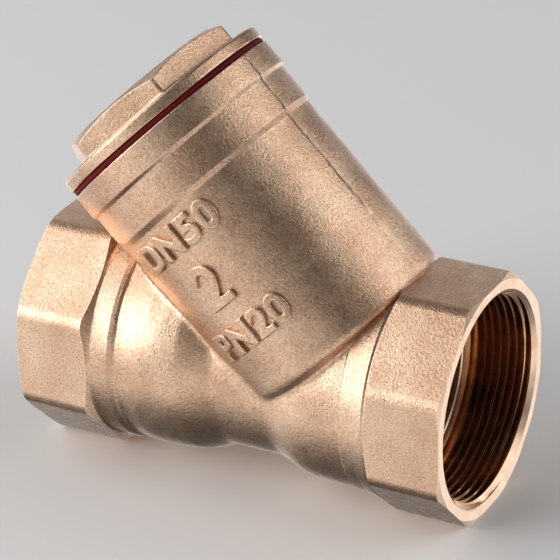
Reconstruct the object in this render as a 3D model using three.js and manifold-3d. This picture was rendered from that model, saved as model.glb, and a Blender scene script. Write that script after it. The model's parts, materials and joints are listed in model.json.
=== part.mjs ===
// Y-pattern basket strainer for a two-inch pipeline, forged in brass with female pipe-thread ends.
// Water enters the socket on the +X side, passes up through a seat into the open lower end of the
// basket, leaves through the basket's perforated wall and runs out of the socket on the -X side.
// A hexagon-headed cap screwed into the slanted branch holds the basket down on its seat.
// Millimetres, +Z up. The run lies along X and stands on its octagons' bottom flats at Z = 0.
import * as THREE from 'three';
import { mergeVertices } from 'three/addons/utils/BufferGeometryUtils.js';
import Module from 'manifold-3d';

const wasm = await Module();
wasm.setup();

// ---- Driving dimensions ------------------------------------------------------------------------

// The run: two octagonal sockets, a round band beside each, then the forged belly and neck.
const FACE_TO_FACE = 128;
const ACROSS_FLATS = 65;
const SOCKET_LENGTH = 22;
const CORNER_ROUNDING = 4;
const RIM_CHAMFER_LENGTH = 2.2;
const RIM_FACE_RADIUS = 32.9;
const BAND_RADIUS = 31.8;
const BAND_LENGTH = 6.5;
const NECK_RADIUS = 31;
const TUBE_RADIUS = 27.4;
const NECK_FOOT_X = 9.8;
const BELLY_FOOT_X = -7.6;

// The bores of the run. The sockets' two-inch pipe threads are cut to THREAD_MINOR_RADIUS.
const THREAD_MINOR_RADIUS = 28.3;
const THREAD_MOUTH_RADIUS = 30.3;
const THREAD_LENGTH = 20;
const PORT_RADIUS = 25;
const CHAMBER_WALL = 4.4;

// The branch: its axis leaves the run's axis at BRANCH_ROOT_X and leans back over the outlet.
const BRANCH_ANGLE = THREE.MathUtils.degToRad(45);
const BRANCH_ROOT_X = 32.46;
const BRANCH_RADIUS = 31.6;
const BRANCH_START = 14;
const BRANCH_START_ROUNDING = 3.5;
const STEP_RADIUS = 32.3;
const STEP_START = 71;
const COLLAR_RADIUS = 33.2;
const COLLAR_START = 82.2;
const COLLAR_TOP = 89.6;

// The seat wall between inlet and outlet lies square to the branch, with a recess for the basket.
const SEAT_WALL_UNDERSIDE = 9;
const SEAT_LEDGE = 11;
const SEAT_WALL_TOP = 15;
const SEAT_PORT_RADIUS = 21.8;
const SEAT_RECESS_RADIUS = 24.4;
const BRANCH_BORE_RADIUS = 26.6;
const CAP_THREAD_START = 76;
const CAP_THREAD_RADIUS = 28;

// The gasket, cap and basket, all turned about the branch axis.
const RUNNING_GAP = 0.3;
const FACE_GAP = 0.2;
const GASKET_THICKNESS = 1.3;
const GASKET_RADIUS = 32.6;
const GASKET_HOLE_RADIUS = 28.3;
const FLANGE_RADIUS = 33;
const FLANGE_THICKNESS = 3.5;
const FLANGE_EDGE_ROUNDING = 1;
const HEAD_ACROSS_FLATS = 50;
const HEAD_HEIGHT = 7;
const HEAD_CHAMFER_ANGLE = THREE.MathUtils.degToRad(24);
const HEAD_TURN_FROM_FRONT = THREE.MathUtils.degToRad(44);
const SPIGOT_LENGTH = 13.8;
const SPIGOT_RECESS_DEPTH = 11;
const BASKET_TOP = 88;
const SCREEN_RADIUS = 23.2;
const SCREEN_THICKNESS = 0.6;
const RIM_THICKNESS = 0.6;
const RIM_WIDTH = 6;

// Facets round a full turn of the outer surfaces and of the bores.
const OUTER_FACETS = 48;
const BORE_FACETS = 40;

// ---- Materials ---------------------------------------------------------------------------------

const forgedBrass = new THREE.MeshStandardMaterial({ color: 0xc99a78, roughness: 0.42, metalness: 1 });
const fibre = new THREE.MeshStandardMaterial({ color: 0x6b1517, roughness: 0.7, metalness: 0 });
const stainless = new THREE.MeshStandardMaterial({ color: 0xb9bcbe, roughness: 0.35, metalness: 1 });

// ---- Helpers -----------------------------------------------------------------------------------

/** Turns a closed three.js geometry into a manifold solid, dropping triangles folded onto an axis. */
function solidOf(geometry, matrix = new THREE.Matrix4()) {
  let shape = geometry.clone().applyMatrix4(matrix);
  shape.deleteAttribute('normal');
  shape.deleteAttribute('uv');
  shape = mergeVertices(shape, 1e-4);
  const kept = [];
  const index = shape.index.array;
  for (let i = 0; i < index.length; i += 3) {
    const [a, b, c] = [index[i], index[i + 1], index[i + 2]];
    if (a !== b && b !== c && c !== a) kept.push(a, b, c);
  }
  const vertProperties = new Float32Array(shape.attributes.position.array);
  const mesh = new wasm.Mesh({ numProp: 3, vertProperties, triVerts: new Uint32Array(kept) });
  return new wasm.Manifold(mesh);
}

/** Turns a manifold solid back into a three.js geometry. */
function geometryOf(solid) {
  const mesh = solid.getMesh();
  const geometry = new THREE.BufferGeometry();
  geometry.setAttribute('position', new THREE.BufferAttribute(new Float32Array(mesh.vertProperties), 3));
  geometry.setIndex(new THREE.BufferAttribute(new Uint32Array(mesh.triVerts), 1));
  return geometry;
}

/** Revolves an outline of [radius, height] points about Y; the outline runs from bottom to top. */
function revolve(outline, facets = OUTER_FACETS) {
  const points = outline.map(([radius, height]) => new THREE.Vector2(radius, height));
  return new THREE.LatheGeometry(points, facets);
}

/** A ring about Y with a square section. */
function ring(inner, outer, low, high, facets = BORE_FACETS) {
  return revolve([[inner, low], [outer, low], [outer, high], [inner, high], [inner, low]], facets);
}

/** Points of a rounded outer corner, from facing along the height to facing along the radius. */
function roundedCorner(radius, height, rounding, upwards, steps = 4) {
  const points = [];
  for (let i = 0; i <= steps; i += 1) {
    const angle = (Math.PI / 2) * (i / steps);
    const along = upwards ? angle : Math.PI / 2 - angle;
    const sign = upwards ? 1 : -1;
    const centre = height - sign * rounding;
    points.push([radius - rounding + rounding * Math.cos(along), centre + sign * rounding * Math.sin(along)]);
  }
  return points;
}

/** The outline as it is for the +1 side, and its mirror image, still bottom to top, for the -1 side. */
function facing(outline, side) {
  if (side > 0) return outline;
  return outline.map(([radius, height]) => [radius, -height]).reverse();
}

/** A smooth outline through a few [radius, height] points. */
function smooth(points, steps) {
  const curve = new THREE.SplineCurve(points.map(([radius, height]) => new THREE.Vector2(radius, height)));
  return curve.getPoints(steps).map((point) => [point.x, point.y]);
}

// ---- Placing: Y of a turned shape goes to the run's axis or to the branch's axis ----------------
// In the branch's frame Y runs outwards along the branch and Z faces the front, which is -Y.

const RUN_HEIGHT = ACROSS_FLATS / 2;
const alongRun = new THREE.Matrix4().makeRotationZ(-Math.PI / 2);
alongRun.premultiply(new THREE.Matrix4().makeTranslation(0, 0, RUN_HEIGHT));

const branchFrame = new THREE.Group();
branchFrame.position.set(BRANCH_ROOT_X, 0, RUN_HEIGHT);
branchFrame.quaternion.setFromRotationMatrix(new THREE.Matrix4().makeBasis(
  new THREE.Vector3(Math.sin(BRANCH_ANGLE), 0, Math.cos(BRANCH_ANGLE)),
  new THREE.Vector3(-Math.cos(BRANCH_ANGLE), 0, Math.sin(BRANCH_ANGLE)),
  new THREE.Vector3(0, -1, 0),
));
branchFrame.updateMatrix();
const alongBranch = branchFrame.matrix;

// ---- Body --------------------------------------------------------------------------------------

/** One octagonal socket from its inner end to the pipe's end, its outer rim turned to a chamfer. */
function octagonSocket(side) {
  const half = ACROSS_FLATS / 2;
  const cornerRadius = half / Math.cos(Math.PI / 8);
  const roundedBack = CORNER_ROUNDING * Math.tan(Math.PI / 8);
  const outline = new THREE.Shape();
  for (let corner = 0; corner < 8; corner += 1) {
    const angle = Math.PI / 8 + (corner * Math.PI) / 4;
    const tip = new THREE.Vector2(Math.cos(angle), Math.sin(angle)).multiplyScalar(cornerRadius);
    const along = new THREE.Vector2(-Math.sin(angle - Math.PI / 8), Math.cos(angle - Math.PI / 8));
    const onward = new THREE.Vector2(-Math.sin(angle + Math.PI / 8), Math.cos(angle + Math.PI / 8));
    const entry = tip.clone().addScaledVector(along, -roundedBack);
    const exit = tip.clone().addScaledVector(onward, roundedBack);
    if (corner === 0) outline.moveTo(entry.x, entry.y);
    else outline.lineTo(entry.x, entry.y);
    outline.quadraticCurveTo(tip.x, tip.y, exit.x, exit.y);
  }
  outline.closePath();
  const prism = new THREE.ExtrudeGeometry(outline, {
    depth: SOCKET_LENGTH, bevelEnabled: false, curveSegments: 2,
  });
  prism.rotateY(Math.PI / 2);
  prism.translate(side > 0 ? FACE_TO_FACE / 2 - SOCKET_LENGTH : -FACE_TO_FACE / 2, 0, RUN_HEIGHT);
  const end = FACE_TO_FACE / 2;
  const turned = [
    [0, end - SOCKET_LENGTH - 1], [cornerRadius + 1, end - SOCKET_LENGTH - 1],
    [cornerRadius + 1, end - RIM_CHAMFER_LENGTH], [RIM_FACE_RADIUS, end], [0, end],
  ];
  return solidOf(prism).intersect(solidOf(revolve(facing(turned, side)), alongRun));
}

/** The round middle of the run: band, belly, slim tube under the branch, neck and the other band. */
function runCore() {
  const bandEnd = FACE_TO_FACE / 2 - SOCKET_LENGTH + 1;
  const bandStart = FACE_TO_FACE / 2 - SOCKET_LENGTH - BAND_LENGTH;
  const belly = smooth([
    [NECK_RADIUS - 0.2, -bandStart + 1], [NECK_RADIUS + 0.6, -25],
    [NECK_RADIUS - 0.4, -15.5], [TUBE_RADIUS + 0.4, BELLY_FOOT_X - 0.6], [TUBE_RADIUS, BELLY_FOOT_X + 1],
  ], 9);
  const neck = smooth([
    [TUBE_RADIUS, NECK_FOOT_X - 1], [TUBE_RADIUS + 1.3, NECK_FOOT_X + 4],
    [NECK_RADIUS - 0.4, NECK_FOOT_X + 10], [NECK_RADIUS, bandStart - 10],
  ], 7);
  const outline = [
    [0, -bandEnd], [BAND_RADIUS, -bandEnd], [BAND_RADIUS, -bandStart], ...belly,
    ...neck, [NECK_RADIUS, bandStart - 1], [BAND_RADIUS - 0.2, bandStart],
    [BAND_RADIUS + 0.5, bandEnd - 1], [BAND_RADIUS + 0.5, bandEnd], [0, bandEnd],
  ];
  return solidOf(revolve(outline), alongRun);
}

/** The outside of the branch, a cylinder with a rounded root, one soft step and the collar. */
function branchOutside() {
  const outline = [
    [0, BRANCH_START],
    ...roundedCorner(BRANCH_RADIUS, BRANCH_START, BRANCH_START_ROUNDING, false),
    [BRANCH_RADIUS, STEP_START - 1], [STEP_RADIUS, STEP_START + 1],
    [STEP_RADIUS, COLLAR_START - 0.5], [COLLAR_RADIUS, COLLAR_START + 0.5],
    [COLLAR_RADIUS, COLLAR_TOP], [0, COLLAR_TOP],
  ];
  return solidOf(revolve(outline), alongBranch);
}

/** Bore of one end of the run: the chamfered thread and the plain port behind its shoulder. */
function endBore(side) {
  const face = FACE_TO_FACE / 2;
  const mouth = THREAD_MOUTH_RADIUS - THREAD_MINOR_RADIUS;
  const outline = [
    [0, face - THREAD_LENGTH - 12], [PORT_RADIUS, face - THREAD_LENGTH - 12],
    [PORT_RADIUS, face - THREAD_LENGTH], [THREAD_MINOR_RADIUS, face - THREAD_LENGTH],
    [THREAD_MINOR_RADIUS, face - mouth], [THREAD_MOUTH_RADIUS, face],
    [THREAD_MOUTH_RADIUS, face + 1], [0, face + 1],
  ];
  return solidOf(revolve(facing(outline, side), BORE_FACETS), alongRun);
}

/** Inside of the belly, tube and neck, following the outside one wall thickness in. */
function runCavity() {
  const reach = FACE_TO_FACE / 2 - THREAD_LENGTH - 10;
  const outline = [
    [0, -reach], [PORT_RADIUS, -reach],
    ...smooth([
      [NECK_RADIUS - CHAMBER_WALL, -25], [NECK_RADIUS - CHAMBER_WALL - 1, -16],
      [TUBE_RADIUS - CHAMBER_WALL, BELLY_FOOT_X],
    ], 3),
    ...smooth([
      [TUBE_RADIUS - CHAMBER_WALL, NECK_FOOT_X], [NECK_RADIUS - CHAMBER_WALL - 1, NECK_FOOT_X + 9],
      [NECK_RADIUS - CHAMBER_WALL, reach - 8],
    ], 3),
    [PORT_RADIUS, reach], [0, reach],
  ];
  return solidOf(revolve(outline, BORE_FACETS), alongRun);
}

/** A wide slab square to the branch axis, used to keep one side of the seat wall. */
function slab(low, high) {
  const width = 2 * FACE_TO_FACE;
  const box = new THREE.BoxGeometry(width, high - low, width);
  box.translate(0, (low + high) / 2, 0);
  return solidOf(box, alongBranch);
}

/** Branch bore from the basket's seat up to the cap's thread and its lead-in chamfer. */
function branchBore() {
  const lead = 0.8;
  const outline = [
    [0, SEAT_WALL_UNDERSIDE - 1], [SEAT_PORT_RADIUS, SEAT_WALL_UNDERSIDE - 1],
    [SEAT_PORT_RADIUS, SEAT_LEDGE], [SEAT_RECESS_RADIUS, SEAT_LEDGE],
    [SEAT_RECESS_RADIUS, SEAT_WALL_TOP], [BRANCH_BORE_RADIUS, SEAT_WALL_TOP],
    [BRANCH_BORE_RADIUS, CAP_THREAD_START], [CAP_THREAD_RADIUS, CAP_THREAD_START + 1],
    [CAP_THREAD_RADIUS, COLLAR_TOP - lead], [CAP_THREAD_RADIUS + lead, COLLAR_TOP],
    [CAP_THREAD_RADIUS + lead, COLLAR_TOP + 1], [0, COLLAR_TOP + 1],
  ];
  return solidOf(revolve(outline, BORE_FACETS), alongBranch);
}

function bodyShape() {
  const outside = runCore().add(octagonSocket(1)).add(octagonSocket(-1)).add(branchOutside());
  const inletSide = runCavity().intersect(slab(-FACE_TO_FACE, SEAT_WALL_UNDERSIDE));
  const outletSide = runCavity().intersect(slab(SEAT_WALL_TOP, FACE_TO_FACE));
  const hollow = inletSide.add(outletSide).add(branchBore()).add(endBore(1)).add(endBore(-1));
  return outside.subtract(hollow);
}

// ---- Cap, gasket and basket, each turned about the branch axis -----------------------------------

const GASKET_BOTTOM = COLLAR_TOP + FACE_GAP;
const FLANGE_BOTTOM = GASKET_BOTTOM + GASKET_THICKNESS + FACE_GAP;
const FLANGE_TOP = FLANGE_BOTTOM + FLANGE_THICKNESS;
const BASKET_BOTTOM = SEAT_LEDGE + RUNNING_GAP;

/** Cap: a hollow threaded spigot, a round flange over the gasket and a chamfered hexagon head. */
function capShape() {
  const spigotBottom = FLANGE_BOTTOM - SPIGOT_LENGTH;
  const recess = SEAT_RECESS_RADIUS;
  const turned = revolve([
    [0, spigotBottom + SPIGOT_RECESS_DEPTH], [recess, spigotBottom + SPIGOT_RECESS_DEPTH],
    [recess, spigotBottom], [CAP_THREAD_RADIUS - RUNNING_GAP - 0.8, spigotBottom],
    [CAP_THREAD_RADIUS - RUNNING_GAP, spigotBottom + 0.8], [CAP_THREAD_RADIUS - RUNNING_GAP, FLANGE_BOTTOM],
    [FLANGE_RADIUS, FLANGE_BOTTOM],
    ...roundedCorner(FLANGE_RADIUS, FLANGE_TOP, FLANGE_EDGE_ROUNDING, true, 3), [0, FLANGE_TOP],
  ]);
  const cornerRadius = HEAD_ACROSS_FLATS / 2 / Math.cos(Math.PI / 6);
  const head = new THREE.CylinderGeometry(cornerRadius, cornerRadius, HEAD_HEIGHT + 1, 6);
  head.rotateY(HEAD_TURN_FROM_FRONT);
  head.translate(0, FLANGE_TOP - 1 + (HEAD_HEIGHT + 1) / 2, 0);
  const crownRadius = 0.95 * (HEAD_ACROSS_FLATS / 2);
  const crownDrop = (cornerRadius + 1 - crownRadius) * Math.tan(HEAD_CHAMFER_ANGLE);
  const headTop = FLANGE_TOP + HEAD_HEIGHT;
  const crown = revolve([
    [0, FLANGE_TOP - 2], [cornerRadius + 1, FLANGE_TOP - 2], [cornerRadius + 1, headTop - crownDrop],
    [crownRadius, headTop], [0, headTop],
  ]);
  return solidOf(turned).add(solidOf(head).intersect(solidOf(crown)));
}

// ---- Assembly ------------------------------------------------------------------------------------

const strainer = new THREE.Group();

function addPiece(parent, name, geometry, material) {
  const mesh = new THREE.Mesh(geometry, material);
  mesh.name = name;
  parent.add(mesh);
}

addPiece(strainer, 'body', geometryOf(bodyShape()), forgedBrass);

strainer.add(branchFrame);
addPiece(branchFrame, 'cap', geometryOf(capShape()), forgedBrass);
const gasket = ring(GASKET_HOLE_RADIUS, GASKET_RADIUS, GASKET_BOTTOM, GASKET_BOTTOM + GASKET_THICKNESS);
addPiece(branchFrame, 'gasket', gasket, fibre);

// The screen is one rolled sheet. A band is spot-welded round each end to stiffen it.
const screenInside = SCREEN_RADIUS - SCREEN_THICKNESS;
addPiece(
  branchFrame, 'basket_screen',
  ring(screenInside, SCREEN_RADIUS, BASKET_BOTTOM, BASKET_TOP), stainless,
);
const rimInside = SCREEN_RADIUS + RUNNING_GAP;
const rims = { basket_lower_rim: BASKET_BOTTOM, basket_upper_rim: BASKET_TOP - RIM_WIDTH };
for (const [name, low] of Object.entries(rims)) {
  addPiece(branchFrame, name, ring(rimInside, rimInside + RIM_THICKNESS, low, low + RIM_WIDTH), stainless);
}

export default strainer;
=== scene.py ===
# %% [markdown]
# # A two-inch Y-pattern basket strainer in forged brass
# A strainer keeps grit out of a pipeline. Water runs in at one threaded socket, up through a
# slanted seat into a perforated basket, and out through the basket's wall to the other socket.
# The body is one hot forging, and a hexagon-headed cap on a red fibre gasket closes the slanted
# branch. Each piece is built here on its own axis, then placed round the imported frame.

import math

import bmesh
import bpy
from mathutils import Matrix, Vector, noise
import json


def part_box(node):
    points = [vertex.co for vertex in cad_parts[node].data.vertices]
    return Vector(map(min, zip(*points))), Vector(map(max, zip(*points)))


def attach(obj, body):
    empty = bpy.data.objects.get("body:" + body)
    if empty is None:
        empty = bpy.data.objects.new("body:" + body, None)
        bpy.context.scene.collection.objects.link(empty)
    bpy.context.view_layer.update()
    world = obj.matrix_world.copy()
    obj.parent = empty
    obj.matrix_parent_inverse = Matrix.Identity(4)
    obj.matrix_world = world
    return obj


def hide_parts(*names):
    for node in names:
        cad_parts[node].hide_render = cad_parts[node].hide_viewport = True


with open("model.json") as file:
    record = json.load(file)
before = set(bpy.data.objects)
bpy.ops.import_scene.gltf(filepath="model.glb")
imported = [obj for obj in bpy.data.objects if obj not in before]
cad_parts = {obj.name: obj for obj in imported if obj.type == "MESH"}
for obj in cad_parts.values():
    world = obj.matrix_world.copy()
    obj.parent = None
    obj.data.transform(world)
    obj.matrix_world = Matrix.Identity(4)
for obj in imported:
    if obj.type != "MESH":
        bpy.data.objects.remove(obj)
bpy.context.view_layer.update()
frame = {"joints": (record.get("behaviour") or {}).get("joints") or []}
MM = 0.001

# %% [markdown]
# ## Where things are
# Two axes rule the whole strainer. The run's axis lies along X, half an octagon above the floor.
# The branch's axis is the cap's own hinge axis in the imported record, so it is read from there. A
# shape turned about Z can then be sent to either axis with one matrix: on the run, Z becomes +X,
# and on the branch, Z becomes the branch's outward direction.

# %% The two axes
SOCKET_FLATS = 65 * MM
RUN_HEIGHT = SOCKET_FLATS / 2
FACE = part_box("body")[1].x / MM
cap_turn = next(joint for joint in frame["joints"] if joint["name"] == "cap_turn")
branch_root = Vector(cap_turn["pos_m"])
branch_out = Vector(cap_turn["axis"]).normalized()
branch_side = Vector((0, 1, 0)).cross(branch_out)


def axes_matrix(x_axis, y_axis, z_axis, origin):
    """A matrix that sends X, Y and Z to three directions, and the origin to a point."""
    turn = Matrix((x_axis, y_axis, z_axis)).transposed()
    return Matrix.Translation(origin) @ turn.to_4x4()


TO_RUN = axes_matrix((0, 0, -1), (0, 1, 0), (1, 0, 0), (0, 0, RUN_HEIGHT))
TO_OUTLET = axes_matrix((0, 0, 1), (0, 1, 0), (-1, 0, 0), (0, 0, RUN_HEIGHT))
TO_BRANCH = axes_matrix(branch_side, (0, 1, 0), branch_out, branch_root)
print("branch root, mm:", [round(value / MM, 2) for value in branch_root])

# %% [markdown]
# ## Helpers for turned pieces
# Nearly every piece here was forged in a round die or turned on a lathe, so the main operator is
# spin. A few outline points become vertices and edges, and one full spin turns them into a closed
# skin. Points on the axis meet, so doubles are merged before the normals are worked out again.

# %% A lathe, a Boolean and the last steps of a piece
FINE = 128
FINISHES = 4
FACED, CUT_BRANCH, TAPPED = 1, 2, 3
MERGE = 0.001 * MM


def new_object(shape, name):
    """Makes an object of a bmesh, with an empty material slot for each finish."""
    mesh = bpy.data.meshes.new(name)
    shape.to_mesh(mesh)
    shape.free()
    for _ in range(FINISHES):
        mesh.materials.append(None)
    made = bpy.data.objects.new(name, mesh)
    bpy.context.scene.collection.objects.link(made)
    return made


def whole(shape):
    """Every vertex, edge and face of a bmesh."""
    return shape.verts[:] + shape.edges[:] + shape.faces[:]


def turned(outline, facets=FINE, to=None, closed=False):
    """Spins an outline of (radius, height) points in mm about Z into a closed skin."""
    shape = bmesh.new()
    points = [shape.verts.new((radius * MM, 0, height * MM)) for radius, height in outline]
    pairs = list(zip(points, points[1:] + points[:1] if closed else points[1:]))
    edges = [shape.edges.new(pair) for pair in pairs]
    bmesh.ops.spin(
        shape, geom=points + edges, axis=(0, 0, 1), cent=(0, 0, 0), angle=2 * math.pi,
        steps=facets, use_merge=True, use_duplicate=False,
    )
    bmesh.ops.remove_doubles(shape, verts=shape.verts, dist=MERGE)
    bmesh.ops.recalc_face_normals(shape, faces=shape.faces)
    if to is not None:
        bmesh.ops.transform(shape, matrix=to, verts=shape.verts)
    return new_object(shape, "turned")


MOST_OF_A_SIDE = 0.49


def rounded(points, radius, steps=4):
    """The outline with its corners rounded. A point's third number is a rounding of its own."""
    made = []
    for index, point in enumerate(points):
        rounding = point[2] if len(point) > 2 else radius
        here = Vector(point[:2])
        if index in (0, len(points) - 1) or rounding == 0:
            made.append(tuple(here))
            continue
        before = Vector(points[index - 1][:2]) - here
        after = Vector(points[index + 1][:2]) - here
        half = before.angle(after) / 2
        longest = min(before.length * MOST_OF_A_SIDE, after.length * MOST_OF_A_SIDE)
        back = min(rounding / math.tan(half), longest)
        start = here + before.normalized() * back
        end = here + after.normalized() * back
        for step in range(steps + 1):
            share = step / steps
            curve = start * (1 - share) ** 2 + here * 2 * share * (1 - share) + end * share ** 2
            made.append(tuple(curve))
    return made


def apply_modifier(piece, kind, **settings):
    """Adds one modifier, bakes it into the mesh and removes it."""
    modifier = piece.modifiers.new(kind.lower(), kind)
    for key, value in settings.items():
        setattr(modifier, key, value)
    graph = bpy.context.evaluated_depsgraph_get()
    result = bpy.data.meshes.new_from_object(piece.evaluated_get(graph))
    piece.modifiers.clear()
    old, piece.data = piece.data, result
    bpy.data.meshes.remove(old)


def combine(piece, others, operation):
    """Unites a piece with others, or cuts or keeps it with them, and removes the others."""
    for other in others:
        apply_modifier(piece, "BOOLEAN", operation=operation, object=other, solver="MANIFOLD")
        bpy.data.objects.remove(other)
    return piece


def soften(piece, sharp_degrees=32):
    """Smooth shading, with the edges sharper than an angle kept crisp."""
    shape = bmesh.new()
    shape.from_mesh(piece.data)
    for face in shape.faces:
        face.smooth = True
    for edge in shape.edges:
        edge.smooth = edge.calc_face_angle(0) < math.radians(sharp_degrees)
    shape.to_mesh(piece.data)
    shape.free()
    apply_modifier(piece, "WEIGHTED_NORMAL", keep_sharp=True)


def place(piece, name, body, slot, replaced, *materials):
    """Names a finished piece, gives it its materials and hands it to its CAD body."""
    piece.name = name
    piece.data.name = name
    while len(piece.data.materials) > len(materials):
        piece.data.materials.pop()
    while len(piece.data.materials) < len(materials):
        piece.data.materials.append(None)
    for index, material in enumerate(materials):
        piece.data.materials[index] = material
    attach(piece, body)
    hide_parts(replaced)
    piece.data.calc_loop_triangles()
    finish_of = [polygon.material_index for polygon in piece.data.polygons]
    shares = [finish_of.count(index) for index in range(len(materials))]
    print(f"{name}: {len(piece.data.loop_triangles)} triangles on {body}, faces by finish {shares}")


print("steps in one full turn of a turned piece:", FINE)

# %% [markdown]
# ## Finishes
# Colours are picked as sRGB hex values, and one function turns them to the linear numbers that
# Blender works in. Each material is a small graph, and one function adds a node with its settings
# and its links, so that a finish reads as a list of what it is made of.

# %% Colour and node helpers
def linear(code):
    """An sRGB hex colour as linear RGBA."""
    values = [int(code[i:i + 2], 16) / 255 for i in (1, 3, 5)]
    return [v / 12.92 if v <= 0.04045 else ((v + 0.055) / 1.055) ** 2.4 for v in values] + [1]


def node(tree, kind, links=None, **settings):
    """Adds a node. Settings are its properties or its inputs' values; links feed its inputs."""
    made = tree.nodes.new(kind)
    for key, value in settings.items():
        if hasattr(made, key):
            setattr(made, key, value)
        else:
            made.inputs[key.replace("_", " ")].default_value = value
    for socket, source in (links or {}).items():
        tree.links.new(source, made.inputs[socket])
    return made


def ramp(tree, source, stops):
    """A colour ramp with (position, hex colour) stops."""
    made = node(tree, "ShaderNodeValToRGB", {"Fac": source})
    elements = made.color_ramp.elements
    while len(elements) < len(stops):
        elements.new(0.5)
    for element, (position, code) in zip(elements, stops):
        element.position = position
        element.color = linear(code)
    return made.outputs["Color"]


def new_material(name, **settings):
    """A material with its Principled shader ready."""
    material = bpy.data.materials.new(name)
    material.use_nodes = True
    tree = material.node_tree
    shader = tree.nodes["Principled BSDF"]
    for key, value in settings.items():
        shader.inputs[key.replace("_", " ")].default_value = value
    place_in = node(tree, "ShaderNodeTexCoord").outputs["Object"]
    return material, tree, shader, place_in


def remap(tree, source, low, high, from_low=0.0, from_high=1.0):
    """Stretches a value to a new range."""
    return node(
        tree, "ShaderNodeMapRange", {"Value": source},
        From_Min=from_low, From_Max=from_high, To_Min=low, To_Max=high,
    ).outputs["Result"]


def noise_of(tree, source, size, detail, roughness=0.5):
    """A noise whose largest lumps have a size in metres."""
    return node(
        tree, "ShaderNodeTexNoise", {"Vector": source},
        Scale=1 / size, Detail=detail, Roughness=roughness,
    ).outputs["Fac"]


def bumped(tree, height, strength, distance, normal=None):
    """A normal pushed about by a height, on top of another normal if one is given."""
    links = {"Height": height} if normal is None else {"Height": height, "Normal": normal}
    made = node(tree, "ShaderNodeBump", links, Strength=strength, Distance=distance)
    return made.outputs["Normal"]


print("pale gold as linear colour:", [round(value, 3) for value in linear("#E2C4A9")])

# %% [markdown]
# ### Hot-forged brass, shot-blasted
# The forging leaves its die with a dull pinkish-brown scale, and steel shot then beats it clean.
# Shot leaves a fine grain of little dents, about half a millimetre across, which breaks every
# highlight into a satin glow. The colour drifts slowly from pale gold to pink-brown where scale
# was thicker, and proud edges are rubbed brighter.

# %% Shot-blasted brass
GRAIN = 0.55 * MM
DRIFT = 14 * MM
BLOTCH = 3.2 * MM
SPECK_SHARE, WEAR_SHARE = 0.6, 0.7
EDGE_RADIUS = 0.7 * MM
WORN_FULLY, WORN_NOT = 0.8, 0.985
MIX_SHARE, MIX_A, MIX_B, MIX_RESULT = 0, 6, 7, 2
DENT_DEPTH, WAVE_DEPTH = 0.15 * MM, 0.14 * MM


def shot_blasted_brass():
    """Satin metal with a fine beaten grain and a slow drift of colour."""
    material, tree, shader, spot = new_material("forged_brass_shot_blasted", Metallic=1.0)
    grain = noise_of(tree, spot, GRAIN, 3.0, 0.62)
    blotch = noise_of(tree, spot, BLOTCH, 4.0, 0.6)
    drift = noise_of(tree, spot, DRIFT, 3.0)
    base = ramp(tree, drift, [(0.3, "#CBA68B"), (0.52, "#D8B79B"), (0.72, "#E2C4A9")])
    speck = ramp(tree, grain, [(0.32, "#A98B79"), (0.58, "#FFFFFF")])
    toned = node(tree, "ShaderNodeMix", data_type="RGBA", blend_type="MULTIPLY")
    toned.inputs[MIX_SHARE].default_value = SPECK_SHARE
    tree.links.new(base, toned.inputs[MIX_A])
    tree.links.new(speck, toned.inputs[MIX_B])
    true_normal = node(tree, "ShaderNodeNewGeometry").outputs["True Normal"]
    eased = node(tree, "ShaderNodeBevel", samples=4, Radius=EDGE_RADIUS).outputs["Normal"]
    agree = node(tree, "ShaderNodeVectorMath", {0: true_normal, 1: eased}, operation="DOT_PRODUCT")
    edge = remap(tree, agree.outputs["Value"], WEAR_SHARE, 0.0, WORN_FULLY, WORN_NOT)
    worn = node(tree, "ShaderNodeMix", data_type="RGBA", blend_type="MIX")
    tree.links.new(edge, worn.inputs[MIX_SHARE])
    tree.links.new(toned.outputs[MIX_RESULT], worn.inputs[MIX_A])
    worn.inputs[MIX_B].default_value = linear("#F0DCC8")
    tree.links.new(worn.outputs[MIX_RESULT], shader.inputs["Base Color"])
    tree.links.new(remap(tree, blotch, 0.23, 0.35, 0.3, 0.7), shader.inputs["Roughness"])
    dents = bumped(tree, grain, 1.0, DENT_DEPTH)
    tree.links.new(bumped(tree, blotch, 0.35, WAVE_DEPTH, dents), shader.inputs["Normal"])
    return material


forged_brass = shot_blasted_brass()
print("grain scale per metre:", round(1 / GRAIN))

# %% [markdown]
# ### Turned brass
# Faces, chamfers, bores and threads are cut on a lathe after blasting. The cutter leaves clean
# metal with hair-thin feed lines that run round the axis. A faced end and a bored core are a
# little rough and pale, and the flanks of a tapped thread are the smoothest. The thread's colour
# is darker and warmer than the other cut faces: that is painted shade, standing in for the dim
# light that bounces about inside the bore. A line round an axis has one radius and one height, so
# the pattern is a noise read at (height, radius), which is the same all the way round.

# %% Turned brass, round either axis
FEED, FEED_DEPTH = 0.35 * MM, 0.02 * MM
SMEAR = 4 * MM


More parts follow.
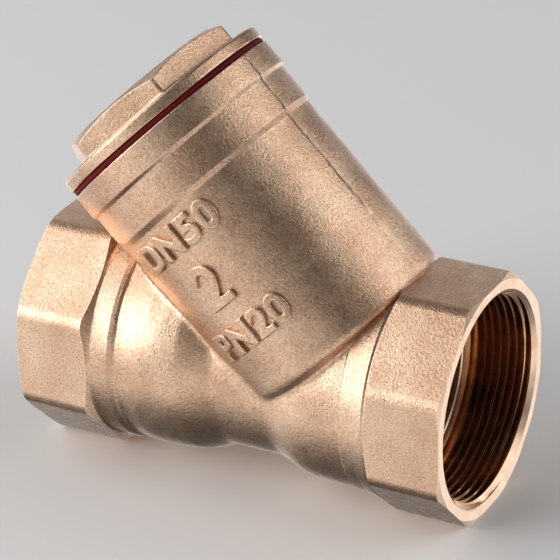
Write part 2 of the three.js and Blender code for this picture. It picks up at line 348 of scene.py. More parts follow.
def turned_brass(name, to_axis, warm, smooth, rough):
    """Cut metal with feed lines round the Z of one placing matrix, between two roughnesses."""
    material, tree, shader, spot = new_material(name, Metallic=1.0)
    back = to_axis.inverted()
    local = node(tree, "ShaderNodeMapping", {"Vector": spot}, vector_type="POINT")
    local.inputs["Location"].default_value = back.to_translation()
    local.inputs["Rotation"].default_value = back.to_euler("XYZ")
    parts = node(tree, "ShaderNodeSeparateXYZ", {"Vector": local.outputs["Vector"]})
    flat = node(tree, "ShaderNodeCombineXYZ", {"X": parts.outputs["X"], "Y": parts.outputs["Y"]})
    radius = node(tree, "ShaderNodeVectorMath", {0: flat.outputs["Vector"]}, operation="LENGTH")
    spread = {"X": parts.outputs["Z"], "Y": radius.outputs["Value"]}
    ring = node(tree, "ShaderNodeCombineXYZ", spread).outputs["Vector"]
    feed = noise_of(tree, ring, FEED, 2.0)
    smear = noise_of(tree, spot, SMEAR, 4.0)
    base = ramp(tree, smear, [(0.3, warm[0]), (0.7, warm[1])])
    tree.links.new(base, shader.inputs["Base Color"])
    tree.links.new(remap(tree, feed, smooth, rough, 0.3, 0.7), shader.inputs["Roughness"])
    tree.links.new(bumped(tree, feed, 0.4, FEED_DEPTH), shader.inputs["Normal"])
    return material


faced_brass = turned_brass("faced_brass_run", TO_RUN, ("#D6B195", "#EBCDB2"), 0.24, 0.38)
# The thread's darker, warmer colours are painted shade from the dim light inside the bore; its low
# roughness is its own.
tapped_brass_painted_shade = turned_brass("thread_brass_run_painted_bore_shade", TO_RUN, ("#C4925F", "#DDB084"), 0.07, 0.18)
cut_brass = turned_brass("turned_brass_branch", TO_BRANCH, ("#D0A57E", "#E3BE99"), 0.1, 0.22)
print("turned finishes:", faced_brass.name, tapped_brass_painted_shade.name, cut_brass.name)

# %% [markdown]
# ### Vulcanised fibre and stainless steel
# The gasket is red vulcanised fibre, pressed paper with a dull, slightly hairy edge. The basket
# is rolled from stainless sheet with a faint milled grain along the branch.

# %% Fibre and stainless
FIBRE_HAIR, FIBRE_FUZZ = 0.5 * MM, 0.08 * MM
MILL_STRETCH, MILL_DEPTH, MILL_SPREAD = 0.05, 0.02 * MM, 0.14


def red_fibre():
    """Dull dark red board with fine layers."""
    material, tree, shader, spot = new_material(
        "vulcanised_fibre_red", Roughness=0.7, Specular_IOR_Level=0.15,
    )
    hair = noise_of(tree, spot, FIBRE_HAIR, 4.0, 0.7)
    base = ramp(tree, hair, [(0.3, "#4E0A0E"), (0.7, "#7A141A")])
    tree.links.new(base, shader.inputs["Base Color"])
    tree.links.new(bumped(tree, hair, 0.6, FIBRE_FUZZ), shader.inputs["Normal"])
    return material


def rolled_stainless(name, tone, grain_width, smooth):
    """Milled sheet with a grain drawn out along the branch."""
    material, tree, shader, spot = new_material(name, Metallic=1.0)
    back = TO_BRANCH.inverted()
    local = node(tree, "ShaderNodeMapping", {"Vector": spot}, vector_type="POINT")
    local.inputs["Rotation"].default_value = back.to_euler("XYZ")
    along = node(tree, "ShaderNodeVectorMath", {0: local.outputs["Vector"]}, operation="MULTIPLY")
    along.inputs[1].default_value = (1, 1, MILL_STRETCH)
    mill = noise_of(tree, along.outputs["Vector"], grain_width, 3.0)
    base = ramp(tree, mill, [(0.3, tone[0]), (0.7, tone[1])])
    tree.links.new(base, shader.inputs["Base Color"])
    rough = remap(tree, mill, smooth, smooth + MILL_SPREAD, 0.3, 0.7)
    tree.links.new(rough, shader.inputs["Roughness"])
    tree.links.new(bumped(tree, mill, 0.4, MILL_DEPTH), shader.inputs["Normal"])
    return material


fibre = red_fibre()
screen_steel = rolled_stainless(
    "perforated_stainless_milled", ("#A9ABAA", "#C9CAC7"), 0.4 * MM, 0.24,
)
band_steel = rolled_stainless("stainless_band_milled", ("#B4B5B3", "#D2D2CF"), 0.5 * MM, 0.2)
print("materials:", [material.name for material in bpy.data.materials])

# %% [markdown]
# ## The forging's soft middle
# Between the two sockets the forging is soft: a belly on the outlet side, a slim tube under the
# branch, a neck that swells to the inlet, and the branch crossing over them with a rounded root.
# In a die all of these flow into each other. Two turned solids are joined, rebuilt by a voxel
# remesh so that every junction gets one even skin, and then relaxed, which leaves the small
# fillets that hot metal has.

# %% Belly, tube, neck and branch in one skin
BELLY = [
    (0, -36), (30.8, -36), (30.9, -33), (31.5, -28.5), (31.6, -25), (31.3, -20), (30.7, -15.4),
    (29.6, -12.4), (28.5, -9.7), (27.8, -8.2), (27.4, -6.4),
]
NECK = [
    (27.4, 9.0), (27.7, 10.6), (28.3, 12.6), (28.9, 14.2), (29.7, 16.4), (30.4, 18.8),
    (30.85, 21.5), (31.0, 25), (31.0, 36), (0, 36),
]
BRANCH_START, BRANCH_RADIUS, BRANCH_TOP, ROOT_ROUNDING = 14, 31.6, 72, 3.6
CORE_FACETS = 160
CORE_VOXEL = 0.72 * MM

body = turned(BELLY + NECK, facets=CORE_FACETS, to=TO_RUN)
branch = turned(rounded([
    (0, BRANCH_START), (BRANCH_RADIUS, BRANCH_START, ROOT_ROUNDING), (BRANCH_RADIUS, BRANCH_TOP),
    (0, BRANCH_TOP),
], 0, steps=6), facets=CORE_FACETS, to=TO_BRANCH)
combine(body, [branch], "UNION")
apply_modifier(body, "REMESH", mode="VOXEL", voxel_size=CORE_VOXEL, use_smooth_shade=True)
apply_modifier(body, "SMOOTH", factor=0.5, iterations=6)
print("soft middle:", len(body.data.polygons), "faces")

# %% [markdown]
# A die wears, and its two halves never meet perfectly. The skin gets a very gentle waviness, and
# the half behind the parting plane sits a tenth of a millimetre proud along the branch.

# %% Die waviness and the mismatch of the halves
LONG_WAVE, LONG_RISE, SHORT_WAVE, SHORT_RISE = 11 * MM, 0.16, 4 * MM, 0.05
MISMATCH, MISMATCH_SIDE, MISMATCH_FROM = 0.12, 20 * MM, 15 * MM


def settle_forging(piece):
    """Moves every point of the forging's skin by up to a third of a millimetre."""
    shape = bmesh.new()
    shape.from_mesh(piece.data)
    for vertex in shape.verts:
        swell = noise.noise(vertex.co / LONG_WAVE) * LONG_RISE
        swell += noise.noise(vertex.co / SHORT_WAVE) * SHORT_RISE
        height = (vertex.co - branch_root).dot(branch_out)
        side = (vertex.co - branch_root).dot(branch_side)
        if side > MISMATCH_SIDE and height > MISMATCH_FROM and vertex.co.y > 0:
            swell += MISMATCH
        vertex.co += vertex.normal * swell * MM
    shape.to_mesh(piece.data)
    shape.free()


settle_forging(body)
print("longest wave of the skin, mm:", LONG_WAVE / MM)

# %% [markdown]
# ## Octagonal sockets
# A pipe wrench grips each socket on eight flats. The die rounds the octagon's long corners, the
# back of each octagon steps down to a round band, and the pipe end is faced and chamfered on a
# lathe, which is why the rim's chamfer turns the corners round. Each socket starts as a prism
# of eight sides, has its long edges bevelled, and is then trimmed by one turned solid, which has
# the outer chamfer at one end and the soft inner edge at the other.

# %% One octagonal socket with its band
SOCKET_LENGTH = 22
CORNER = SOCKET_FLATS / MM / 2 / math.cos(math.pi / 8)
CORNER_BEVEL = 2.2 * MM
RIM_CHAMFER = 1.4


def bevel_upright(shape, offset, segments):
    """Bevels the edges of a prism that stand along Z."""
    upright = [edge for edge in shape.edges if abs(edge.verts[0].co.z - edge.verts[1].co.z) > MM]
    bmesh.ops.bevel(
        shape, geom=upright, offset=offset, segments=segments, profile=0.5, affect="EDGES",
        material=-1,
    )


def octagon_socket(side, band_outline):
    """The outside of a socket with the band behind it. The side is 1 at the inlet, -1 at the outlet."""
    back = FACE - SOCKET_LENGTH
    shape = bmesh.new()
    made = bmesh.ops.create_circle(shape, cap_ends=True, segments=8, radius=CORNER * MM)
    bmesh.ops.rotate(shape, verts=made["verts"], matrix=Matrix.Rotation(math.pi / 8, 3, "Z"))
    bmesh.ops.translate(shape, verts=shape.verts, vec=(0, 0, back * MM))
    raised = bmesh.ops.extrude_face_region(shape, geom=shape.faces[:])
    lifted = [item for item in raised["geom"] if isinstance(item, bmesh.types.BMVert)]
    bmesh.ops.translate(shape, verts=lifted, vec=(0, 0, SOCKET_LENGTH * MM))
    bmesh.ops.recalc_face_normals(shape, faces=shape.faces)
    bevel_upright(shape, CORNER_BEVEL, segments=5)
    to = TO_RUN if side > 0 else TO_OUTLET
    bmesh.ops.transform(shape, matrix=to, verts=shape.verts)
    prism = new_object(shape, "prism")
    rim = turned(
        rounded([
            (0, back), (CORNER - 3.1, back), (CORNER + 0.1, back + 1.6, 0.8),
            (CORNER + 1, back + 4), (CORNER + 1, FACE - RIM_CHAMFER), (32.9, FACE, 0.25),
            (0, FACE),
        ], 0.2, steps=3), to=to,
    )
    combine(prism, [rim], "INTERSECT")
    for polygon in prism.data.polygons:
        at_the_rim = abs(polygon.center.x) > (FACE - RIM_CHAMFER + 0.1) * MM
        faced = at_the_rim and abs(polygon.normal.x) > 0.3
        polygon.material_index = FACED if faced else 0
    band = turned(band_outline, to=to)
    return combine(prism, [band], "UNION")


inlet_band = rounded([
    (0, 32), (30.9, 32), (31.0, 34.0, 0.2), (31.5, 34.5, 0.3), (31.8, 38), (32.3, 41.2, 0.3),
    (32.0, 41.8, 0.2), (32.3, 42.4), (32.3, 44), (0, 44),
], 0.6)
outlet_band = rounded([
    (0, 32), (30.75, 32), (30.8, 34.1, 0.3), (31.5, 34.8, 0.5), (31.8, 36), (31.8, 41.4, 0.6),
    (32.2, 42.2), (32.2, 43), (0, 43),
], 0.4)
inlet = octagon_socket(1, inlet_band)
outlet = octagon_socket(-1, outlet_band)
print("socket corners, mm:", round(CORNER, 2))

# %% [markdown]
# ## The collar of the branch
# Near its mouth the branch thickens twice: a soft shoulder, then a tighter one under the collar
# that carries the gasket. These steps are crisp enough to catch a line of light, so they are
# turned rather than remeshed.

# %% Shoulder, collar and the gasket's face
SHOULDER, COLLAR, COLLAR_TOP = 71.6, 82.4, 89.6
COLLAR_RADIUS = 33.2
collar = turned(rounded([
    (0, 69.4), (31.55, 69.4), (31.62, 70.0, 1.2), (32.3, SHOULDER, 1.2), (32.35, 81.5, 0.7),
    (33.15, COLLAR, 0.7), (COLLAR_RADIUS, 84, 0.5), (COLLAR_RADIUS, COLLAR_TOP, 0.35),
    (0, COLLAR_TOP),
], 0.6, steps=5), to=TO_BRANCH)
combine(body, [inlet, outlet, collar], "UNION")
print("outside of the forging:", len(body.data.polygons), "faces")

# %% [markdown]
# ## Bores and the seat wall
# The inside is cast hollow on both sides of a slanted wall. Water comes up through the wall's
# round port, and the basket stands in a recess round it. Everything that a cutter reaches is cut
# with turned solids: the two pipe ends, the branch and the seat. Each cutter's faces carry the
# finish that its cut will show.

# %% Hollow of the run, kept clear of the seat wall
SEAT_UNDERSIDE, SEAT_TOP = 9, 15
REACH = 34
FAR = 150
hollow_outline = [
    (0, -REACH), (25, -REACH), (26.5, -25), (25.6, -16), (23.4, -9.5), (23, -7.6), (23, 9.8),
    (24.2, 13.6), (25.6, 18.8), (26.6, 26), (25, REACH), (0, REACH),
]


def half_hollow(low, high):
    """The hollow of the run between two heights along the branch."""
    hollow = turned(hollow_outline, facets=96, to=TO_RUN)
    keep = turned([(0, low), (FAR, low), (FAR, high), (0, high)], facets=24, to=TO_BRANCH)
    return combine(hollow, [keep], "INTERSECT")


def as_cutter(piece, index):
    """Marks every face of a cutter with the material that its cut will show."""
    for polygon in piece.data.polygons:
        polygon.material_index = index
    return piece


branch_bore = as_cutter(turned([
    (0, SEAT_UNDERSIDE - 1), (21.8, SEAT_UNDERSIDE - 1), (21.8, 11), (24.4, 11), (24.4, SEAT_TOP),
    (26.6, SEAT_TOP), (26.6, 75.6), (28.05, 76.8), (28.05, COLLAR_TOP - 0.9), (28.9, COLLAR_TOP),
    (28.9, COLLAR_TOP + 1), (0, COLLAR_TOP + 1),
], to=TO_BRANCH), CUT_BRANCH)
print("branch bore:", len(branch_bore.data.polygons), "faces")

# %% [markdown]
# ## The trimmed flash line
# Hot metal squeezes out between the two die halves, and a press trims it off. What stays is a
# thin ragged ridge in the plane between the halves, with a fine crack beside it where the trim
# tore. Both are a small closed section, extruded step by step down the branch, with a seeded
# wobble in its place and its height: one is added, one is cut.

# %% Flash along the branch
FLASH_STEP = 0.7


def outer_radius(height):
    """Radius of the branch's outside at a height, in mm, for pieces that lie on it."""
    for start, radius in ((COLLAR, COLLAR_RADIUS), (SHOULDER, 32.33)):
        if height >= start:
            return radius
    return BRANCH_RADIUS


def flash_line(low, high, angle, seed, rise=0.36, half_width=0.4):
    """A ragged rod along the branch's skin, at an angle round it from the front."""
    steps = int((high - low) / FLASH_STEP)
    shape = bmesh.new()
    bmesh.ops.create_circle(shape, cap_ends=True, segments=8, radius=1)
    bmesh.ops.spin(
        shape, geom=whole(shape), axis=(0, 0, 1), cent=(0, 0, 0), angle=0, steps=steps,
        dvec=(0, 0, FLASH_STEP), use_duplicate=False,
    )
    for vertex in shape.verts:
        height = low + vertex.co.z
        ends = max(0, min(1, vertex.co.z / 3, (high - height) / 5))
        wander = noise.noise((height * 0.3, seed, 0)) * 0.7
        wander += noise.noise((height * 1.2, seed, 5)) * 0.3
        tall = max(0.04, (rise + noise.noise((height * 0.8, seed, 9)) * 0.9 * rise) * ends)
        wide = half_width + noise.noise((height * 0.5, seed, 2)) * 0.5 * half_width
        out = outer_radius(height) + vertex.co.y * tall
        round_by = angle + (vertex.co.x * wide + wander) / out
        vertex.co = Vector((math.sin(round_by) * out, -math.cos(round_by) * out, height)) * MM
    bmesh.ops.recalc_face_normals(shape, faces=shape.faces)
    bmesh.ops.transform(shape, matrix=TO_BRANCH, verts=shape.verts)
    return new_object(shape, "flash")


crack = flash_line(42, 90.5, math.radians(88.3), 3.0, rise=1.0, half_width=0.42)
print("crack cutter:", len(crack.data.polygons), "faces")

# %% [markdown]
# ## Pipe threads
# The two ends have a real internal thread, eleven turns to the inch, that a tap would cut. A tap
# is a core with one helical ridge. The ridge's four-sided section is spun with a little rise at
# each step, which is what the spin operator's dvec is for, and its two ends are closed so that it
# is a solid the Boolean can subtract.

# %% A tap for any thread
STEPS_PER_TURN = 96


def helix_ridge(root, crest, pitch, start, turns, root_half, crest_half, to):
    """A helical ridge about Z, from radius root to crest in mm, as a closed solid."""
    shape = bmesh.new()
    section = [(root, -root_half), (crest, -crest_half), (crest, crest_half), (root, root_half)]
    shape.faces.new([
        shape.verts.new((radius * MM, 0, (start + height) * MM)) for radius, height in section
    ])
    steps = int(STEPS_PER_TURN * turns)
    bmesh.ops.spin(
        shape, geom=whole(shape), axis=(0, 0, 1), cent=(0, 0, 0), angle=2 * math.pi * turns,
        steps=steps, dvec=(0, 0, pitch * turns / steps * MM), use_duplicate=False,
    )
    bmesh.ops.remove_doubles(shape, verts=shape.verts, dist=MERGE)
    bmesh.ops.recalc_face_normals(shape, faces=shape.faces)
    bmesh.ops.transform(shape, matrix=to, verts=shape.verts)
    return new_object(shape, "ridge")


PIPE_PITCH, PIPE_MINOR, PIPE_MAJOR = 25.4 / 11, 28.33, 29.8
THREAD_LENGTH, THREAD_TURNS = 20, 8.4
ROOT_HALF, CREST_HALF = 1.12, 0.14


def pipe_tap(to):
    """The cutters for one pipe end: bore, shoulder, mouth chamfer and the thread's ridge."""
    end = FACE - THREAD_LENGTH
    core = as_cutter(turned([
        (0, end - 13), (25, end - 13), (25, end - 0.3), (25.4, end), (PIPE_MINOR, end),
        (PIPE_MINOR, FACE - 1.5), (30.1, FACE), (30.1, FACE + 1), (0, FACE + 1),
    ], to=to), FACED)
    ridge = as_cutter(helix_ridge(
        PIPE_MINOR - 0.12, PIPE_MAJOR, PIPE_PITCH, end + 1.3, THREAD_TURNS,
        ROOT_HALF, CREST_HALF, to,
    ), TAPPED)
    return [core, ridge]


CAP_PITCH = 2.0
cap_thread = as_cutter(helix_ridge(
    27.8, 28.6, CAP_PITCH, 77.6, 5.6, 0.75, 0.2, TO_BRANCH,
), CUT_BRANCH)
hollows = [half_hollow(-FAR, SEAT_UNDERSIDE), half_hollow(SEAT_TOP, FAR)]
cutters = hollows + [branch_bore, cap_thread, crack]
combine(body, cutters + pipe_tap(TO_RUN) + pipe_tap(TO_OUTLET), "DIFFERENCE")
print("body with bores and threads:", len(body.data.polygons), "faces")
soften(body, 30)
place(body, "strainer_body", "housing", "forged_brass", "body",
      forged_brass, faced_brass, cut_brass, tapped_brass_painted_shade)

# %% [markdown]
# ## Raised markings
# The die carries the pressure rating, the nominal bore and the size in inches as raised letters
# on the front of the branch. Forged letters are soft: their tops are rounded and their feet run
# into the skin. Text is made a mesh first, rebuilt at a fine voxel and relaxed, and only then
# wrapped round the branch.

# %% Letters wrapped round the branch
LETTER_RISE, LETTER_DEPTH = 1.2, 1.5
CAPITAL_SHARE = 0.72
LETTER_SPACE, LETTER_THICKER = 1.12, 0.55 * MM
LETTER_VOXEL = 0.2 * MM
LINES = [("DN50", 63.8, 8.0), ("2", 48.6, 12.6), ("PN20", 33.2, 8.0)]


def raised_line(words, centre, height):
    """One line of soft raised letters on the branch's front, with its tops towards the cap."""
    curve = bpy.data.curves.new("letters", "FONT")
    curve.body = words
    curve.align_x = "CENTER"
    curve.size = height * MM / CAPITAL_SHARE
    curve.space_character = LETTER_SPACE
    curve.offset = LETTER_THICKER
    curve.extrude = LETTER_DEPTH * MM
    letters = bpy.data.objects.new("letters", curve)
    bpy.context.scene.collection.objects.link(letters)
    graph = bpy.context.evaluated_depsgraph_get()
    mesh = bpy.data.meshes.new_from_object(letters.evaluated_get(graph))
    bpy.data.objects.remove(letters)
    line = bpy.data.objects.new("line", mesh)
    bpy.context.scene.collection.objects.link(line)
    apply_modifier(line, "REMESH", mode="VOXEL", voxel_size=LETTER_VOXEL, use_smooth_shade=True)
    apply_modifier(line, "SMOOTH", factor=0.5, iterations=14)
    low = min(vertex.co.y for vertex in line.data.vertices)
    high = max(vertex.co.y for vertex in line.data.vertices)
    shape = bmesh.new()
    shape.from_mesh(line.data)
    skin = BRANCH_RADIUS * MM
    for vertex in shape.verts:
        angle = vertex.co.x / skin
        out = skin + vertex.co.z + (LETTER_RISE - LETTER_DEPTH) * MM
        along = centre * MM + vertex.co.y - (low + high) / 2
        vertex.co = (math.sin(angle) * out, -math.cos(angle) * out, along)
    bmesh.ops.transform(shape, matrix=TO_BRANCH, verts=shape.verts)
    bmesh.ops.recalc_face_normals(shape, faces=shape.faces)
    shape.to_mesh(line.data)
    shape.free()
    return line


for order, (words, centre, height) in enumerate(LINES):
    line = raised_line(words, centre, height)
    soften(line, 60)
    place(line, f"raised_marking_{order + 1}", "housing", "forged_brass", "body", forged_brass)

# The two parting lines: lowest and highest point, degrees round from the front, and a seed.
FLASHES = [(36, 89, 89.4, 3.0), (40, 89, -90, 7.0)]
for order, (low, high, degrees, seed) in enumerate(FLASHES):
    flash = flash_line(low, high, math.radians(degrees), seed)
    soften(flash, 80)
    place(flash, f"flash_line_{order + 1}", "housing", "forged_brass", "body", forged_brass)

# %% [markdown]
# ## Cap
# The cap is a forging too: a hexagon head for a 50 mm spanner on a round flange, and a hollow
# threaded spigot that holds the top of the basket. The head is a six-sided prism kept inside a
# turned cone, which gives the curved corner chamfers. Its sharp edges and the foot of the head
# are then bevelled, because a die leaves none of them sharp.

# %% Flange, head and threaded spigot
FLANGE_BOTTOM, FLANGE_TOP = 91.3, 94.8
HEAD_TOP, HEAD_FLATS, CROWN_RADIUS = 101.8, 50, 23.75
HEAD_TURN = math.radians(44)
SPIGOT_RADIUS, SPIGOT_BOTTOM, SPIGOT_INSIDE, RECESS_TOP = 27.05, 77.5, 24.4, 88.5
FLANGE_RADIUS, NECK_RADIUS = 33, SPIGOT_RADIUS - 0.5

cap = turned(rounded([
    (0, RECESS_TOP), (SPIGOT_INSIDE, RECESS_TOP, 0.6), (SPIGOT_INSIDE, SPIGOT_BOTTOM, 0.2),
    (SPIGOT_RADIUS - 0.9, SPIGOT_BOTTOM, 0.2), (SPIGOT_RADIUS, SPIGOT_BOTTOM + 1, 0.3),
    (SPIGOT_RADIUS, FLANGE_BOTTOM - 1.6, 0.2), (NECK_RADIUS, FLANGE_BOTTOM - 1.2, 0.2),
    (NECK_RADIUS, FLANGE_BOTTOM, 0.2), (FLANGE_RADIUS, FLANGE_BOTTOM, 0.3),
    (FLANGE_RADIUS, FLANGE_TOP, 1.0), (0, FLANGE_TOP),
], 0.3))
cone = math.tan(math.radians(24))
corner = HEAD_FLATS / 2 / math.cos(math.pi / 6)
head_shape = bmesh.new()
bmesh.ops.create_cone(
    head_shape, cap_ends=True, segments=6, radius1=corner * MM, radius2=corner * MM,
    depth=(HEAD_TOP - FLANGE_TOP + 1) * MM,
)
middle = (HEAD_TOP + FLANGE_TOP - 1) / 2 * MM
bmesh.ops.translate(head_shape, verts=head_shape.verts, vec=(0, 0, middle))
corner_at = min(math.atan2(vertex.co.y, vertex.co.x) for vertex in head_shape.verts)
from_front = Matrix.Rotation(HEAD_TURN - math.pi / 2 - corner_at, 3, "Z")
bmesh.ops.rotate(head_shape, verts=head_shape.verts, cent=(0, 0, 0), matrix=from_front)
bevel_upright(head_shape, 0.8 * MM, segments=3)
head = new_object(head_shape, "head")
crown = turned(rounded([
    (0, FLANGE_TOP - 2), (corner + 1, FLANGE_TOP - 2),
    (corner + 1, HEAD_TOP - (corner + 1 - CROWN_RADIUS) * cone), (CROWN_RADIUS, HEAD_TOP, 1.2),
    (0, HEAD_TOP),
], 0.3))
combine(head, [crown], "INTERSECT")
combine(cap, [head], "UNION")
print("cap:", len(cap.data.polygons), "faces")


# %% Soft edges of the cap, then its thread
def round_foot(piece, height, radius_below, offset):
    """Rounds the inner corner that a head makes with the flat it stands on."""
    shape = bmesh.new()
    shape.from_mesh(piece.data)
    flat = math.radians(0.5)
    bmesh.ops.dissolve_limit(shape, angle_limit=flat, verts=shape.verts, edges=shape.edges)
    foot = [
        edge for edge in shape.edges
        if all(abs(vertex.co.z - height * MM) < 0.01 * MM for vertex in edge.verts)
        and all(vertex.co.xy.length < radius_below * MM for vertex in edge.verts)
    ]
    bmesh.ops.bevel(
        shape, geom=foot, offset=offset * MM, segments=3, profile=0.5, affect="EDGES", material=-1,
    )
    shape.to_mesh(piece.data)
    shape.free()
    return len(foot)


CAP_CUT = 1
print("foot edges rounded:", round_foot(cap, FLANGE_TOP, 31, 0.7))
apply_modifier(
    cap, "BEVEL", width=0.45 * MM, segments=2, limit_method="ANGLE", angle_limit=math.radians(30),
)
for polygon in cap.data.polygons:
    machined = polygon.center.z < (FLANGE_BOTTOM + 0.3) * MM
    polygon.material_index = CAP_CUT if machined else 0
thread = helix_ridge(
    SPIGOT_RADIUS - 0.2, SPIGOT_RADIUS + 0.62, CAP_PITCH, SPIGOT_BOTTOM + 1.4, 5.2, 0.85, 0.18,
    Matrix.Identity(4),
)
combine(cap, [as_cutter(thread, CAP_CUT)], "UNION")
cap.data.transform(TO_BRANCH)
soften(cap, 35)
place(cap, "screw_cap", "screw_cap", "forged_brass", "cap", forged_brass, cut_brass)

# %% [markdown]
# ## Gasket
# The flat ring between flange and collar is punched from fibre board, and its edge is slightly
# squeezed.

# %% Gasket
gasket = turned(rounded([
    (28.4, 89.8), (32.45, 89.8, 0.3), (32.6, 90.1, 0.4), (32.6, 90.8, 0.4), (32.45, 91.1, 0.3),
    (28.4, 91.1, 0), (28.4, 89.8),
], 0.2)[:-1], closed=True, to=TO_BRANCH)
soften(gasket)
place(gasket, "fibre_gasket", "gasket_ring", "red_fibre", "gasket", fibre)

# %% [markdown]
# ## Basket
# The screen is a sheet punched with rows of round holes and rolled to a tube. One small tile with
# a round hole is copied along the sheet by two Array modifiers, because a few hundred holes of a
# few dozen faces each are light, and then the flat sheet is rolled. Solidify gives it the
# thickness of real sheet.

# %% Perforated screen
SCREEN_OUT, SCREEN_THICK = 23.2, 0.6
BASKET_LOW, BASKET_HIGH = 11.3, 88.0
HOLES_ROUND, HOLES_ALONG = 36, 16
HOLE_SIDES, HOLE_RADIUS = 12, 1.25
PLAIN_END = 7.0


def perforated_sheet():
    """A rolled sheet with a round hole in every tile."""
    tile_wide = 2 * math.pi * (SCREEN_OUT - SCREEN_THICK / 2) / HOLES_ROUND
    tile_tall = (BASKET_HIGH - BASKET_LOW - 2 * PLAIN_END) / HOLES_ALONG
    shape = bmesh.new()
    bmesh.ops.create_circle(shape, cap_ends=False, segments=HOLE_SIDES, radius=HOLE_RADIUS)
    raised = bmesh.ops.extrude_edge_only(shape, edges=shape.edges[:])
    outer = [item for item in raised["geom"] if isinstance(item, bmesh.types.BMVert)]
    for vertex in outer:
        grow = max(abs(vertex.co.x), abs(vertex.co.y))
        vertex.co.x = vertex.co.x / grow * tile_wide / 2
        vertex.co.y = vertex.co.y / grow * tile_tall / 2
    tile = new_object(shape, "screen")
    for count, offset in ((HOLES_ROUND, (tile_wide, 0, 0)), (HOLES_ALONG, (0, tile_tall, 0))):
        apply_modifier(
            tile, "ARRAY", count=count, use_relative_offset=False, use_constant_offset=True,
            constant_offset_displace=offset, use_merge_vertices=True, merge_threshold=0.01,
        )
    shape = bmesh.new()
    shape.from_mesh(tile.data)
    lows = min(vertex.co.y for vertex in shape.verts)
    highs = max(vertex.co.y for vertex in shape.verts)
    left = min(vertex.co.x for vertex in shape.verts)
    # The plain margins past the last rows of holes.
    for level, end in ((lows, -PLAIN_END), (highs, PLAIN_END)):
        border = [edge for edge in shape.edges if edge.is_boundary
                  and all(abs(vertex.co.y - level) < 0.01 for vertex in edge.verts)]
        raised = bmesh.ops.extrude_edge_only(shape, edges=border)
        moved = [item for item in raised["geom"] if isinstance(item, bmesh.types.BMVert)]
        bmesh.ops.translate(shape, verts=moved, vec=(0, end, 0))
    middle = SCREEN_OUT - SCREEN_THICK / 2
    for vertex in shape.verts:
        angle = (vertex.co.x - left) / middle
        height = BASKET_LOW + vertex.co.y - lows + PLAIN_END
        vertex.co = Vector((math.sin(angle) * middle, -math.cos(angle) * middle, height)) * MM
    bmesh.ops.remove_doubles(shape, verts=shape.verts, dist=0.02 * MM)
    bmesh.ops.recalc_face_normals(shape, faces=shape.faces)
    bmesh.ops.transform(shape, matrix=TO_BRANCH, verts=shape.verts)
    shape.to_mesh(tile.data)
    shape.free()
    apply_modifier(tile, "SOLIDIFY", thickness=SCREEN_THICK * MM, offset=0)
    return tile


screen = perforated_sheet()
soften(screen, 40)
place(screen, "perforated_screen", "basket", "perforated_stainless", "basket_screen", screen_steel)

# %% [markdown]
# Where the rolled sheet's edges meet, a narrow plain strip laps over them. It is a small section
# spun a few degrees round the branch, with a row of shallow spot welds cut into it.

# %% Welded lap of the screen
LAP_IN, LAP_OUT, LAP_DEGREES = 23.15, 23.42, 13
LAP_LOW, LAP_HIGH = BASKET_LOW + 0.2, BASKET_HIGH - 0.2
LAP_WELDS, FIRST_WELD, WELD_PITCH = 10, 10, 6.3
WELD_FLATNESS, WELD_OUT = 0.2, 0.06


def spot_weld(radius, height, turn, size=1.1):
    """A flattened ball that presses one spot weld's dimple into a face at a radius."""
    shape = bmesh.new()
    bmesh.ops.create_uvsphere(shape, u_segments=16, v_segments=8, radius=size * MM)
    bmesh.ops.scale(shape, vec=(WELD_FLATNESS, 1, 1), verts=shape.verts)
    centre = ((radius + WELD_OUT) * MM, 0, height * MM)
    bmesh.ops.translate(shape, verts=shape.verts, vec=centre)
    round_by = Matrix.Rotation(turn, 3, "Z")
    bmesh.ops.rotate(shape, verts=shape.verts, cent=(0, 0, 0), matrix=round_by)
    return new_object(shape, "weld")


shape = bmesh.new()
section = [(LAP_IN, LAP_LOW), (LAP_OUT, LAP_LOW), (LAP_OUT, LAP_HIGH), (LAP_IN, LAP_HIGH)]
shape.faces.new([shape.verts.new((radius * MM, 0, height * MM)) for radius, height in section])
bmesh.ops.spin(
    shape, geom=whole(shape), axis=(0, 0, 1), cent=(0, 0, 0), angle=math.radians(LAP_DEGREES),
    steps=8, use_duplicate=False,
)
bmesh.ops.recalc_face_normals(shape, faces=shape.faces)
lap = new_object(shape, "lap")
lap_welds = [
    spot_weld(LAP_OUT, BASKET_LOW + FIRST_WELD + WELD_PITCH * index, math.radians(LAP_DEGREES / 2))
    for index in range(LAP_WELDS)
]
combine(lap, lap_welds, "DIFFERENCE")
lap.data.transform(TO_BRANCH)
soften(lap, 35)
place(lap, "screen_lap_seam", "basket", "perforated_stainless", "basket_screen", screen_steel)

# %% [markdown]
# A band stiffens each end of the screen. It is a rolled strip with rounded edges, held by a row
# of spot welds, each a shallow round dimple.

# %% End bands with their spot welds
BAND_IN, BAND_OUT, BAND_WIDE = 23.5, 24.1, 6
BAND_WELDS, BAND_WELD_SIZE, BAND_WELD_TURN = 8, 1.2, 0.2


def end_band(low, name, replaced):
    """One stainless band with spot welds."""
    high = low + BAND_WIDE
    band = turned(rounded([
        (BAND_IN, low + 1), (BAND_IN, low, 0.25), (BAND_OUT, low, 0.25), (BAND_OUT, high, 0.25),
        (BAND_IN, high, 0.25), (BAND_IN, low + 1),
    ], 0.2)[:-1], closed=True)
    turns = [2 * math.pi * weld / BAND_WELDS + BAND_WELD_TURN for weld in range(BAND_WELDS)]
    dimples = [
        spot_weld(BAND_OUT, low + BAND_WIDE / 2, turn, size=BAND_WELD_SIZE) for turn in turns
    ]
    combine(band, dimples, "DIFFERENCE")
    band.data.transform(TO_BRANCH)
    soften(band, 35)
    place(band, name, "basket", "stainless_band", replaced, band_steel)


end_band(BASKET_LOW, "lower_band", "basket_lower_rim")
end_band(BASKET_HIGH - BAND_WIDE, "upper_band", "basket_upper_rim")

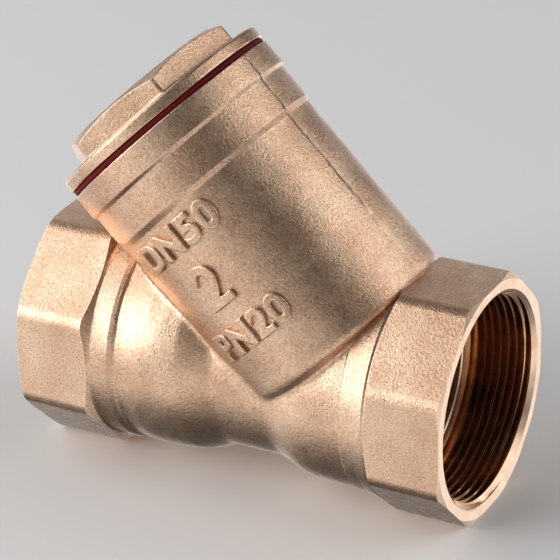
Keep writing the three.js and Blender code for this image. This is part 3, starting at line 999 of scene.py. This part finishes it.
# %% [markdown]
# ## The studio
# The strainer stands on a plain grey floor. A wide softbox low at the left front, with a taller
# one above it, makes the long highlights along the octagon's corners and down the branch. Two
# from the right and behind light the collar and the top, and two faint ones soften the rest. The
# floor is kept out of mirror reflections, and the room's own light changes with height instead,
# which gives the metal its deep bands.

# %% Floor
def studio_floor():
    """A plain grey floor. Its faces use the first slot, which is empty, so its paint doesn't show."""
    shape = bmesh.new()
    bmesh.ops.create_grid(shape, x_segments=8, y_segments=8, size=3)
    floor = new_object(shape, "studio_floor")
    material, tree, shader, spot = new_material(
        "painted_floor_white", Roughness=0.8, Emission_Color=(1, 1, 1, 1), Emission_Strength=0.62,
    )
    mottle = node(tree, "ShaderNodeTexNoise", {"Vector": spot}, Scale=30.0, Detail=2.0)
    tree.links.new(ramp(tree, mottle.outputs["Fac"], [(0.3, "#D2D2D1"), (0.7, "#D8D8D7")]),
                   shader.inputs["Base Color"])
    floor.data.materials.append(material)
    floor.visible_glossy = False
    floor.visible_shadow = False
    return floor


floor = studio_floor()
print("floor across, m:", round(floor.dimensions.x, 1))


# %% Softboxes and the room
LAMP_CENTRE = Vector((0, 0, 0.05))
LAMP_DISTANCE = 1.4


def softbox(name, azimuth, elevation, wide, tall, brightness):
    """A rectangular area light, placed and sized in degrees as seen from the strainer."""
    width = 2 * LAMP_DISTANCE * math.tan(math.radians(wide / 2))
    height = 2 * LAMP_DISTANCE * math.tan(math.radians(tall / 2))
    light = bpy.data.lights.new(name, "AREA")
    light.shape = "RECTANGLE"
    light.size, light.size_y = width, height
    light.energy = brightness * math.pi * width * height
    lamp = bpy.data.objects.new(name, light)
    bpy.context.scene.collection.objects.link(lamp)
    turn, lift = math.radians(azimuth), math.radians(elevation)
    flat = math.cos(lift)
    way = Vector((math.sin(turn) * flat, -math.cos(turn) * flat, math.sin(lift)))
    lamp.location = LAMP_CENTRE + way * LAMP_DISTANCE
    lamp.rotation_euler = (-way).to_track_quat("-Z", "Y").to_euler()


softbox("softbox_left_low", -47, 11, 38, 24, 6.2)
softbox("softbox_left_high", -55, 42, 66, 34, 2.1)
softbox("softbox_right_back", 112, 34, 50, 36, 1.9)
softbox("softbox_far_right", 152, 10, 22, 16, 2.4)
softbox("softbox_left_back", -138, 26, 56, 44, 0.5)
softbox("softbox_front_low", 12, 9, 44, 14, 0.7)

# The room's light at each height of the way it comes from, straight down to straight up.
ROOM_GLOW = [
    (-1, 0.1), (-0.8, 0.14), (-0.6, 1.2), (-0.4, 1.45), (-0.06, 0.5), (0.05, 0.14), (1, 0.14),
]
world = bpy.data.worlds.new("studio_room")
bpy.context.scene.world = world
world.use_nodes = True
sky = world.node_tree
way_out = node(sky, "ShaderNodeTexCoord").outputs["Generated"]
height_out = node(sky, "ShaderNodeSeparateXYZ", {"Vector": way_out}).outputs["Z"]
room = sky.nodes["Background"]
room.inputs["Color"].default_value = linear("#FFFFFF")
glow = node(sky, "ShaderNodeValToRGB", {"Fac": remap(sky, height_out, 0, 1, -1, 1)})
steps = glow.color_ramp.elements
while len(steps) < len(ROOM_GLOW):
    steps.new(0.5)
for element, (height, strength) in zip(steps, ROOM_GLOW):
    element.position = (height + 1) / 2
    element.color = (strength, strength, strength, 1)
sky.links.new(glow.outputs["Color"], room.inputs["Strength"])

# %% [markdown]
# ## The camera
# It stands in front, to the right of the branch, and looks down at nearly thirty degrees with a
# long lens, so that the run's two ends stay nearly the same size.

# %% Camera
CAMERA_AT = Vector((0.34644, -0.62568, 0.41556))
AIM_AT = Vector((0.002206, -0.00202, 0.055689))
CAMERA_ROLL = math.radians(-1.61)
LENS_MM = 190.14
lens = bpy.data.cameras.new("studio_camera")
lens.lens = LENS_MM
lens.sensor_width = 36
camera = bpy.data.objects.new("studio_camera", lens)
bpy.context.scene.collection.objects.link(camera)
level = (AIM_AT - CAMERA_AT).to_track_quat("-Z", "Y").to_matrix().to_4x4()
camera.matrix_world = Matrix.Translation(CAMERA_AT) @ level @ Matrix.Rotation(CAMERA_ROLL, 4, "Z")
bpy.context.scene.camera = camera
bpy.context.scene.view_settings.view_transform = "Standard"
print("camera to strainer, mm:", round((AIM_AT - CAMERA_AT).length / MM))

# %% [markdown]
# ## Last lines
# The looks stay inside the frame's box. The last cell only imports json.

# %% Importing json
import json
